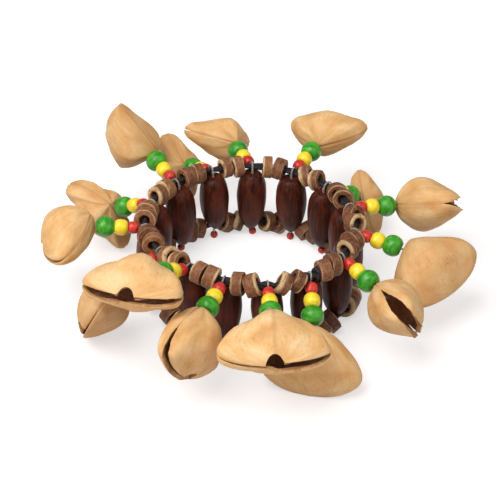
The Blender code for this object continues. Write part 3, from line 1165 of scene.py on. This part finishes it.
@dataclass
class BeadChain:
    """One thread of a dangle with its red, yellow and green bead, as long as the frame's hinges say.

    Attributes:
        bight_radius, bight_thread: the radius of the thread's turn over the elastic, and its own, pulled thin there.
        neck: how far before its end the thread meets the pod.
    """

    number: int
    red: WoodBead = field(default_factory=lambda: WoodBead(2.1 * MM, 3.6 * MM, fullness=2.6, trim=0.88))
    yellow: WoodBead = field(default_factory=lambda: WoodBead(2.7 * MM, 4.4 * MM, fullness=2.5, trim=0.86))
    green: WoodBead = field(default_factory=lambda: WoodBead(3.7 * MM, 5.9 * MM, fullness=2.1, trim=0.86))
    centres: tuple[float, float, float] = (RED_AT, YELLOW_AT, GREEN_AT)
    lean: float = 7.0
    thread_radius: float = 0.36 * MM
    bight_radius: float = 1.65 * MM
    bight_thread: float = 0.28 * MM
    bight_spans: int = 6
    neck: float = 2.0 * MM
    knot_radius: float = 1.3 * MM
    knot_swell: tuple[float, ...] = (0.7, 1.0, 0.9, 0.5)

    def build(self, finishes: Finishes, path: RingPath) -> None:
        """Builds and dresses the beads and the thread.

        Args:
            finishes: the bracelet's finishes.
            path: the line of the elastics.
        """
        chance = random.Random(900 + self.number)
        body = f"string_{self.number:02d}"
        along = path.threads[self.number - 1]
        crossing = path.crossings[self.number - 1]
        nod = path.nods[self.number - 1]
        for name, bead, centre, finish in zip(
            ("red", "yellow", "green"), (self.red, self.yellow, self.green), self.centres,
            (finishes.red, finishes.yellow, finishes.green),
        ):
            piece = bead.turn(chance)
            lean = chance_lean(chance, self.lean)
            piece.put(upright_frame(crossing + along * centre, along, chance.uniform(0, 360)) @ lean)
            piece.close(f"{name}_bead_{self.number:02d}", [finish], body, "painted_wood")
        thread = Workpiece(shift=Vector((chance.uniform(0, 9), 0, 0)))
        stops = (self.bight_radius, *self.centres, (nod - crossing).length - self.neck)
        line = flowing([crossing + along * distance for distance in stops] + [nod], 5)
        knot = [self.knot_radius * swell for swell in self.knot_swell]
        thread.sweep(line, [self.thread_radius] * (len(line) - len(knot)) + knot, 10)
        node = f"bead_string_{self.number:02d}"
        thread.close(f"thread_{self.number:02d}", [finishes.nylon], body, "painted_wood", [node])
        self.bight(finishes, crossing, along, thread.shift)

    def bight(self, finishes: Finishes, crossing: Vector, along: Vector, shift: Vector) -> None:
        """Builds and dresses the turn of the thread over the elastic, which bends as the thread swings.

        Args:
            finishes: the bracelet's finishes.
            crossing: where the thread crosses the elastic.
            along: the direction of the thread.
            shift: this thread's place in the pattern.
        """
        out = Vector((crossing.x, crossing.y, 0.0)).normalized()
        level = Vector((along.x, along.y, 0.0)).normalized()
        height = math.degrees(math.asin(along.z))
        points = []
        for step in range(self.bight_spans + 1):
            turn = 180.0 + (height - 180.0) * step / self.bight_spans
            ahead = out if turn > 90.0 else level
            arm = ahead * math.cos(math.radians(turn)) + raised(math.sin(math.radians(turn)))
            points.append(crossing + arm * self.bight_radius)
        line = flowing(points + [crossing + along * self.centres[0]], 4)
        piece = Workpiece(shift=shift)
        piece.sweep(line, [self.bight_thread] * len(line), 8)
        reach = out * self.bight_radius
        bend = (f"string_{self.number:02d}", crossing - reach, crossing + reach)
        piece.close(f"bight_{self.number:02d}", [finishes.nylon], "ring", "painted_wood", bend=bend)


class Valve(Enum):
    """The two halves of a pod; the upper one has the notch."""

    UPPER = 1
    LOWER = -1


@dataclass(frozen=True)
class PodLie:
    """How one pod lies and how it grew.

    Attributes:
        azimuth: compass angle of the line from apex to mouth, in degrees.
        height: its angle above the level.
        roll: turn about that line.
        size: size factor.
        gape: width of the open mouth, in millimetres.
        slot: share of the length at which the valves part.
        tone: how much browner than the common shell it is.
        peak: how pointed its two tips are.
        dip: how far its flanks fall in between its middle and its tips.
        round_tips: how far its outline is an oval instead of a clam, or a kite with pointed tips where below nought.
        ragged: how far its lips are torn, in millimetres.
        open_side: the sign gives the flank along which the valves part, and the size how far the other one is
            shut; nought for both open.
        rib_shade: how plainly a line of painted shade runs down the middle of its upper valve, along its keel.
    """

    azimuth: float
    height: float
    roll: float
    size: float
    gape: float
    slot: float
    tone: float
    peak: float
    dip: float
    round_tips: float
    ragged: float = 0.15
    open_side: float = 0.0
    rib_shade: float = 0.0


# In the order of the seeds, clockwise from the back, with the values in the order of the fields above.
POD_LIES = (
    PodLie(122, -17, 27, 0.85, 1.6, 0.55, 0.05, 1.15, 0.12, -0.4),
    PodLie(72, 2, -8, 0.87, 0.8, 0.70, 0.00, 1.00, 0.12, 0.4),
    PodLie(78, -34, 70, 0.72, 1.0, 0.70, 0.10, 1.00, 0.15, 0.8),
    PodLie(8, -4, -35, 1.00, 4.6, 0.54, 0.03, 1.00, 0.10, 0.9, 0.06, 1),
    PodLie(-44, -34, 202, 0.98, 1.0, 0.70, 0.24, 0.95, 0.15, 0.6),
    PodLie(-45, -26, -53, 0.94, 4.5, 0.14, 0.00, 1.00, 0.15, 0.6, 0.4, 0.7),
    PodLie(-102, -66, 182, 0.99, 1.0, 0.70, 0.04, 0.95, 0.25, 0.6),
    PodLie(-88, 0, 0, 1.05, 3.2, 0.56, 0.00, 0.92, 0.20, 0.5, 0.3, -0.75, 0.3),
    PodLie(-106, -46, -78, 1.01, 2.0, 0.22, 0.06, 1.00, 0.15, 0.35, 0.5, 0.9),
    PodLie(-107, 9, 2, 0.99, 2.8, 0.54, 0.00, 0.85, 0.26, 0.4, 0.25),
    PodLie(-126, -25, 58, 0.905, 1.0, 0.74, 0.30, 1.10, 0.15, -0.2),
    PodLie(-163, -32, 8, 0.89, 2.2, 0.60, -0.20, 1.00, 0.15, 0.6),
    PodLie(125, -46, 70, 0.90, 1.0, 0.65, 0.15, 0.85, 0.34, 0.3),
    PodLie(150, 6, 80, 0.93, 1.2, 0.62, 0.22, 1.25, 0.08, -0.7),
    PodLie(112, -38, 85, 0.80, 1.0, 0.65, 0.10, 1.00, 0.15, 0.6),
)


@dataclass(frozen=True)
class ShellRelief:
    """The relief of a pod: a grooved ridge along the shut seam, a keel down each valve, wrinkles, lumps and tears.

    Attributes:
        apex_extra: how much deeper the wrinkles are near the apex.
        lumps: widths and heights of the lumps.
        calm_rim: height above the split below which the skin stays as it is.
        underlip: how far the lower lip stands out.
    """

    ridge: float = 0.28 * MM
    ridge_width: float = 1.1 * MM
    groove: float = 1.3
    groove_width: float = 0.35 * MM
    keel: float = 0.25 * MM
    keel_width: float = 0.9 * MM
    keel_from: float = 2.0 * MM
    keel_over: float = 5.0 * MM
    wrinkle: float = 0.10 * MM
    wrinkle_cells: tuple[float, float, float] = (1.5 * MM, 9.0 * MM, 3.0 * MM)
    apex_extra: float = 0.5
    apex_length: float = 6.0 * MM
    lumps: tuple[Point, ...] = ((9.0 * MM, 0.5 * MM), (3.5 * MM, 0.12 * MM))
    calm_rim: float = 1.5 * MM
    tear_cell: float = 1.3 * MM
    tear_rim: float = 0.9 * MM
    tear_end: float = 0.97
    tear_fade: float = 0.12
    underlip: float = 0.9 * MM
    underlip_from: float = 0.7


@dataclass
class SplitPod:
    """A hollow split pod: two valves that meet at a ridge round the apex and gape at the mouth, one with a notch.

    Attributes:
        neck: from the apex to the knot inside.
        clam_turn, clam_powers: the curve of a clam's flank up to its widest, and of its rim beyond.
        oval_back, oval_power: how much nearer the apex an oval is widest, and how full its flank is.
        shut_over, shut_slot: the width over which a shut flank's lips close, and the share of the length so shut.
        part_over: share of the length over which the valves part.
        apex_tone, rim_shade, seam_shade: how much darker those places are, and how far that reaches; along the split
            and in the seam's groove that darkening is painted shade.
        eased: how often the inner wall is smoothed.
    """

    number: int
    lie: PodLie
    relief: ShellRelief = ShellRelief()
    length: float = 22.0 * MM
    width: float = 33.0 * MM
    thickness: float = 18.0 * MM
    wall: float = 1.4 * MM
    neck: float = 6.0 * MM
    notch_radius: float = 3.0 * MM
    notch_inset: float = -0.35
    notch_sides: int = 16
    lip_round: float = 0.3 * MM
    widest_at: float = 0.74
    thickest_at: float = 0.44
    ridge_from: float = 0.45
    clam_turn: float = 0.44 * math.pi
    clam_powers: tuple[float, float, float] = (0.85, 1.7, 0.6)
    oval_back: float = 0.10
    oval_power: float = 0.8
    thick_power: float = 0.65
    shut_over: float = 4.0 * MM
    shut_slot: float = 0.62
    part_over: float = 0.5
    lip_bend: float = 0.8
    least_top: float = 0.5 * MM
    apex_tone: Point = (0.2, 2.5 * MM)
    # Painted shade: darker towards the split between the valves, and a dark line in the groove of the shut seam.
    rim_shade: Point = (0.22, 1.6 * MM)
    seam_shade: Point = (0.22, 0.4 * MM)
    seam_past: float = 0.1
    rib_shade_width: float = 0.5 * MM
    grain_turn: float = 12.0
    grain_rise: float = 0.4
    sides: int = 96
    rings: int = 56
    weld_rows: float = 0.12 * MM
    weld_flanks: float = 0.05 * MM
    eased: int = 6

    def half_width(self, share: float) -> float:
        """Finds the half-width of an outline that is part clam and part oval or kite.

        Args:
            share: share of the length from the apex.

        Returns:
            The half-width against the greatest.
        """
        flank, rim, tip = self.clam_powers
        past = max(0.0, (share - self.widest_at) / (1.0 - self.widest_at))
        if share < self.widest_at:
            clam = (math.sin(self.clam_turn * share / self.widest_at) / math.sin(self.clam_turn)) ** flank
        else:
            clam = max(0.0, 1.0 - past**rim) ** tip
        if self.lie.round_tips < 0.0:
            kite = min(1.0, share / self.widest_at) ** flank * max(0.0, 1.0 - past) ** tip
            return clam + (clam - kite) * self.lie.round_tips
        middle = self.widest_at - self.oval_back
        if share < middle:
            oval = math.sin(0.5 * math.pi * share / middle) ** self.oval_power
        else:
            oval = math.sqrt(max(0.0, 1.0 - ((share - middle) / (1.0 - middle)) ** 2))
        return clam + (oval - clam) * self.lie.round_tips

    def half_thickness(self, share: float) -> float:
        """Finds the half-thickness at a share of the length, against the greatest."""
        power = math.log(0.5) / math.log(self.thickest_at)
        return max(0.0, math.sin(math.pi * share**power)) ** self.thick_power

    def place(self, nod: Vector) -> Matrix:
        """Finds the pod's frame: its apex, with Y towards the mouth and Z across the split.

        Args:
            nod: where the knot of the thread sits inside it.

        Returns:
            The placing matrix.
        """
        forward = direction(self.lie.azimuth, self.lie.height)
        side = direction(self.lie.azimuth - 90.0, 0.0)
        axes = Matrix((side, forward, side.cross(forward))).transposed()
        turn = Matrix.Rotation(math.radians(self.lie.roll), 3, "Y")
        return Matrix.Translation(nod - forward * self.neck) @ (axes @ turn).to_4x4()

    def valve(self, which: Valve, shift: Vector) -> Workpiece:
        """Shapes one valve as a thin skin.

        Args:
            which: the half to make.
            shift: this pod's place in the pattern.

        Returns:
            The valve in the pod's own frame.
        """
        lie = self.lie
        length, width, thickness = self.length * lie.size, self.width * lie.size, self.thickness * lie.size
        piece = Workpiece(shift=shift)
        shape = piece.shape
        bmesh.ops.create_uvsphere(shape, u_segments=self.sides, v_segments=self.rings, radius=1.0)
        bmesh.ops.bisect_plane(
            shape, geom=shape.verts[:] + shape.edges[:] + shape.faces[:], dist=1e-6, plane_co=(0, 0, 0),
            plane_no=(0, which.value, 0), clear_inner=True,
        )
        grain, tones, seams = piece.layer("grain"), piece.layer("tone"), piece.layer("seam")
        for vert in shape.verts:
            share = (1.0 - vert.co.z) / 2
            around = abs(math.atan2(vert.co.y, vert.co.x))
            dip = 1.0 - lie.dip * math.sin(math.pi * abs(math.cos(around)) ** 1.5) ** 2
            height = thickness / 2 * self.half_thickness(share) * dip * math.sin(around) ** lie.peak
            side, up = width / 2 * self.half_width(share) * math.cos(around), height * which.value
            vert.co = (side, length * share, up)
            own = Vector((around * self.grain_turn, length * share / MM, up / MM * self.grain_rise))
            vert[grain] = own + shift
            # Darker near the apex; painted shade darker towards the split, and as a dark line in the groove of the shut
            # seam.
            apex, rim, seam = (
                most * math.exp(-away / reach)
                for away, (most, reach) in (
                    (length * share, self.apex_tone), (height, self.rim_shade), (height, self.seam_shade),
                )
            )
            vert[tones] = lie.tone + apex + rim
            fade = smooth_steps((lie.slot + self.seam_past - share) * 6)
            # A line of painted shade runs down the keel of the upper valve, in the same layer as the seam's painted
            # shade.
            vert[seams] = seam * fade + lie.rib_shade * bell(side, self.rib_shade_width)
        bmesh.ops.remove_doubles(shape, verts=shape.verts, dist=self.weld_rows)
        if which is Valve.UPPER:
            self.notch(shape, length)
        self.model_skin(piece, which, length, thickness)
        return piece

    def notch(self, shape: bmesh.types.BMesh, length: float) -> None:
        """Cuts the half-round notch out of the upper valve's lip.

        Args:
            shape: the valve.
            length: the pod's length.
        """
        radius = self.notch_radius * (0.5 + 0.5 * self.lie.size)
        middle = Vector((0.0, length - self.notch_inset * radius, 0.0))
        normals = [direction(360.0 * k / self.notch_sides, 0.0) for k in range(self.notch_sides)]
        for normal in normals:
            near = [f for f in shape.faces if (f.calc_center_median().xy - middle.xy).length < 1.6 * radius]
            geom = list({item for f in near for item in (*f.verts, *f.edges, f)})
            bmesh.ops.bisect_plane(shape, geom=geom, dist=1e-6, plane_co=middle + normal * radius, plane_no=normal)
        cut = []
        for face in shape.faces:
            away = face.calc_center_median() - middle
            if away.xy.length < 1.2 * radius and all(away.dot(normal) < radius for normal in normals):
                cut.append(face)
        bmesh.ops.delete(shape, geom=cut, context="FACES")

    def model_skin(self, piece: Workpiece, which: Valve, length: float, thickness: float) -> None:
        """Gives a valve its gape, ridges, creases, torn lips and lumps.

        Args:
            piece: the valve.
            which: the half that it is.
            length: the pod's length.
            thickness: the pod's thickness.
        """
        lie, relief = self.lie, self.relief
        piece.shape.normal_update()
        pushes = []
        for vert in piece.shape.verts:
            co = vert.co
            share = co.y / length
            shut = 0.0
            if lie.open_side:
                shut = smooth_steps(0.5 - math.copysign(co.x, co.x * lie.open_side) / self.shut_over)
            free = 1.0 - abs(lie.open_side) * shut
            slot = lie.slot + shut * max(0.0, self.shut_slot - lie.slot)
            parted = smooth_steps((share - slot) / self.part_over)
            lip = parted * lie.gape * free * lie.size * MM / 2
            torn = math.exp(-abs(co.z) / relief.tear_rim) * min(1.0, 3 * parted) * free
            torn *= smooth_steps((relief.tear_end - share) / relief.tear_fade)
            tear = noise.noise(co / relief.tear_cell + piece.shift) * lie.ragged * MM * torn
            top = max(thickness / 2 * self.half_thickness(min(1.0, share)), self.least_top)
            push = raised(which.value * (lip + tear - abs(co.z) * min(self.lip_bend, lip / top)))
            if which is Valve.LOWER:
                ahead = smooth_steps((share - relief.underlip_from) / (1.0 - relief.underlip_from))
                push.y += relief.underlip * lie.size * free * ahead
            outward = Vector((co.x, (co.y - length * self.ridge_from) * 0.6, 0.0))
            if outward.length > 1e-9:
                seam = bell(co.z, relief.ridge_width) - relief.groove * bell(co.z, relief.groove_width)
                push += outward.normalized() * seam * relief.ridge * (1.0 - parted)
            keel = bell(co.x, relief.keel_width) * smooth_steps((co.y - relief.keel_from) / relief.keel_over)
            cell = Vector([along / wide for along, wide in zip(co, relief.wrinkle_cells)])
            deeper = 1.0 + relief.apex_extra * smooth_steps(1.0 - co.y / relief.apex_length)
            crease = noise.noise(cell + piece.shift) * relief.wrinkle * deeper
            lump = sum(noise.noise(co / wide + piece.shift) * high for wide, high in relief.lumps)
            swell = keel * relief.keel + crease + lump
            pushes.append(push + vert.normal * swell * smooth_steps(abs(co.z) / relief.calm_rim))
        for vert, push in zip(piece.shape.verts, pushes):
            vert.co += push

    def thicken(self, shape: bmesh.types.BMesh) -> None:
        """Welds the closed flanks, adds the wall inward and rounds the lips.

        Args:
            shape: both valves as skins.
        """
        bmesh.ops.remove_doubles(shape, verts=shape.verts, dist=self.weld_flanks)
        bmesh.ops.recalc_face_normals(shape, faces=shape.faces)
        shape.normal_update()
        skin = shape.verts[:]
        open_edges = [edge for edge in shape.edges if edge.is_boundary]
        copied = bmesh.ops.duplicate(shape, geom=shape.verts[:] + shape.edges[:] + shape.faces[:])
        twin = copied["vert_map"]
        for vert in skin:
            twin[vert].co = vert.co - vert.normal * self.wall
        # The lips turn sharply, so the inner wall is smoothed where its points would cross.
        for _ in range(self.eased):
            bmesh.ops.smooth_vert(
                shape, verts=[twin[vert] for vert in skin], factor=0.5, use_axis_x=True, use_axis_y=True,
                use_axis_z=True,
            )
        for item in copied["geom"]:
            if isinstance(item, bmesh.types.BMFace):
                item.normal_flip()
                item.material_index = 1
        lips = set()
        for edge in open_edges:
            start, end = edge.verts
            if edge.link_loops[0].vert is start:
                start, end = end, start
            lips.add(shape.faces.new((start, end, twin[end], twin[start])))
        for face in lips:
            face.material_index = 2
        edges = [e for e in shape.edges if sum(face in lips for face in e.link_faces) == 1]
        bmesh.ops.bevel(
            shape, geom=edges, offset=self.lip_round, segments=2, profile=0.5, affect="EDGES", material=-1,
            clamp_overlap=True,
        )

    def build(self, finishes: Finishes, path: RingPath) -> None:
        """Builds and dresses both valves as one piece.

        Args:
            finishes: the bracelet's finishes.
            path: the line of the elastics, with where the threads end.
        """
        shift = pattern_place(random.Random(70 + self.number))
        whole = Workpiece()
        for which in Valve:
            whole.take(self.valve(which, shift))
        self.thicken(whole.shape)
        whole.put(self.place(path.nods[self.number - 1]))
        body = f"pod_{self.number:02d}"
        materials = [finishes.shell, finishes.shell_inside, finishes.shell_edge]
        whole.close(f"split_{body}", materials, body, "nut_shell", [body], 60.0)


@dataclass
class Studio:
    """The pale floor, the soft light and the camera of the photograph.

    Attributes:
        elevation, distance: the camera's angle above the level, and how far it stands from the aim.
        focal_pixels: its focal length, in pixels of the photograph.
        drop_pixels: how far the aim lies above the middle of the picture.
        glow: distances from the middle, and how strongly the camera sees the floor glow there.
        sky_light, sky_shown: the strength of the world's light, and what the camera sees on top of it.
        lamps: name, place, side and watts of each soft box.
    """

    elevation: float = 35.0
    distance: float = 0.550
    aim: Vector = field(default_factory=lambda: Vector((0.0003, 0.0, 0.0273)))
    focal_pixels: float = 1650.0
    drop_pixels: float = 26.0
    floor_side: float = 2.0
    paper: str = "#CCC9CA"
    white: str = "#FFFFFF"
    glow: tuple[Point, Point] = ((0.25, 0.55), (0.95, 0.75))
    sky_light: float = 0.3
    sky_shown: float = 0.7
    lamps: tuple[tuple[str, tuple[float, float, float], float, float], ...] = (
        ("key_softbox", (-0.28, -0.26, 0.78), 0.6, 5.4),
        ("right_softbox", (0.55, -0.45, 0.50), 0.7, 1.8),
        ("left_softbox", (-0.60, -0.40, 0.45), 0.7, 2.3),
    )

    def floor(self) -> None:
        """Lays the floor, which shows white to the camera where no shadow falls."""
        shape = bmesh.new()
        bmesh.ops.create_grid(shape, x_segments=1, y_segments=1, size=self.floor_side / 2)
        mesh = bpy.data.meshes.new("floor")
        shape.to_mesh(mesh)
        shape.free()
        floor = bpy.data.objects.new("floor", mesh)
        bpy.context.scene.collection.objects.link(floor)
        material, tree, shader = start_material("white_paper_sweep")
        rays = add_node(tree, RAYS).outputs
        shown = rays["Is Camera Ray"]
        for ray in ("Is Glossy Ray", "Is Transmission Ray"):
            shown = add_node(tree, SUM, {0: shown, 1: rays[ray]}, operation="MAXIMUM").outputs[0]
        place = add_node(tree, "ShaderNodeTexCoord").outputs["Object"]
        away = add_node(tree, "ShaderNodeVectorMath", {0: place}, operation="LENGTH").outputs["Value"]
        level = add_node(tree, RAMP, {0: away}, self.glow).outputs[0]
        fill_sockets(tree, shader, {
            "Base Color": self.paper, "Roughness": 0.9, "Specular IOR Level": 0.1, "Emission Color": self.white,
            "Emission Strength": add_node(tree, SUM, {0: shown, 1: level}, operation="MULTIPLY").outputs[0],
        })
        mesh.materials.append(material)

    def sky(self) -> None:
        """Lights everything softly from all round, with a white that the camera sees."""
        world = bpy.data.worlds.new("studio")
        bpy.context.scene.world = world
        world.use_nodes = True
        tree = world.node_tree
        shown = add_node(tree, RAYS).outputs["Is Camera Ray"]
        sums = {0: shown, 1: self.sky_shown, 2: self.sky_light}
        strength = add_node(tree, SUM, sums, operation="MULTIPLY_ADD").outputs[0]
        fill_sockets(tree, tree.nodes["Background"], {"Color": self.white, "Strength": strength})

    def hang(self, name: str, place: tuple[float, float, float], side: float, power: float) -> None:
        """Hangs one soft box that points at the bracelet.

        Args:
            name: the lamp's name.
            place: where it hangs.
            side: the side of its square face.
            power: its power in watts.
        """
        light = bpy.data.lights.new(name, "AREA")
        light.size = side
        light.energy = power
        hung = bpy.data.objects.new(name, light)
        hung.location = place
        hung.rotation_euler = (-Vector(place) + self.aim).to_track_quat("-Z", "Y").to_euler()
        bpy.context.scene.collection.objects.link(hung)

    def camera(self) -> None:
        """Sets the camera at the photograph's viewing angle."""
        lens = bpy.data.cameras.new("photo_camera")
        lens.sensor_width = 36.0
        lens.lens = self.focal_pixels * lens.sensor_width / IMAGE_SIDE
        lens.clip_start = 0.01
        eye = bpy.data.objects.new("photo_camera", lens)
        tilt = math.radians(self.elevation)
        eye.location = self.aim + Vector((0.0, -math.cos(tilt), math.sin(tilt))) * self.distance
        eye.rotation_euler = (math.pi / 2 - tilt - math.atan(self.drop_pixels / self.focal_pixels), 0.0, 0.0)
        bpy.context.scene.collection.objects.link(eye)
        bpy.context.scene.camera = eye

    def build(self) -> None:
        """Sets up the whole studio."""
        self.floor()
        self.sky()
        for lamp in self.lamps:
            self.hang(*lamp)
        self.camera()
        bpy.context.scene.view_settings.view_transform = "Standard"


def main() -> None:
    """Builds the bracelet's looks in order."""
    logging.basicConfig(level=logging.INFO, format="%(name)s %(message)s")
    finishes = Finishes.mix()
    path = RingPath.read()
    for level in Level:
        ElasticCord(path, level).build(finishes)
        DiscString(path, level).build(finishes)
    ElasticKnot(path).build(finishes)
    for number, lie in enumerate(POD_LIES, start=1):
        StandingSeed(number).build(finishes, path)
        BeadChain(number).build(finishes, path)
        SplitPod(number, lie).build(finishes, path)
    Studio().build()


if __name__ == "__main__":
    main()
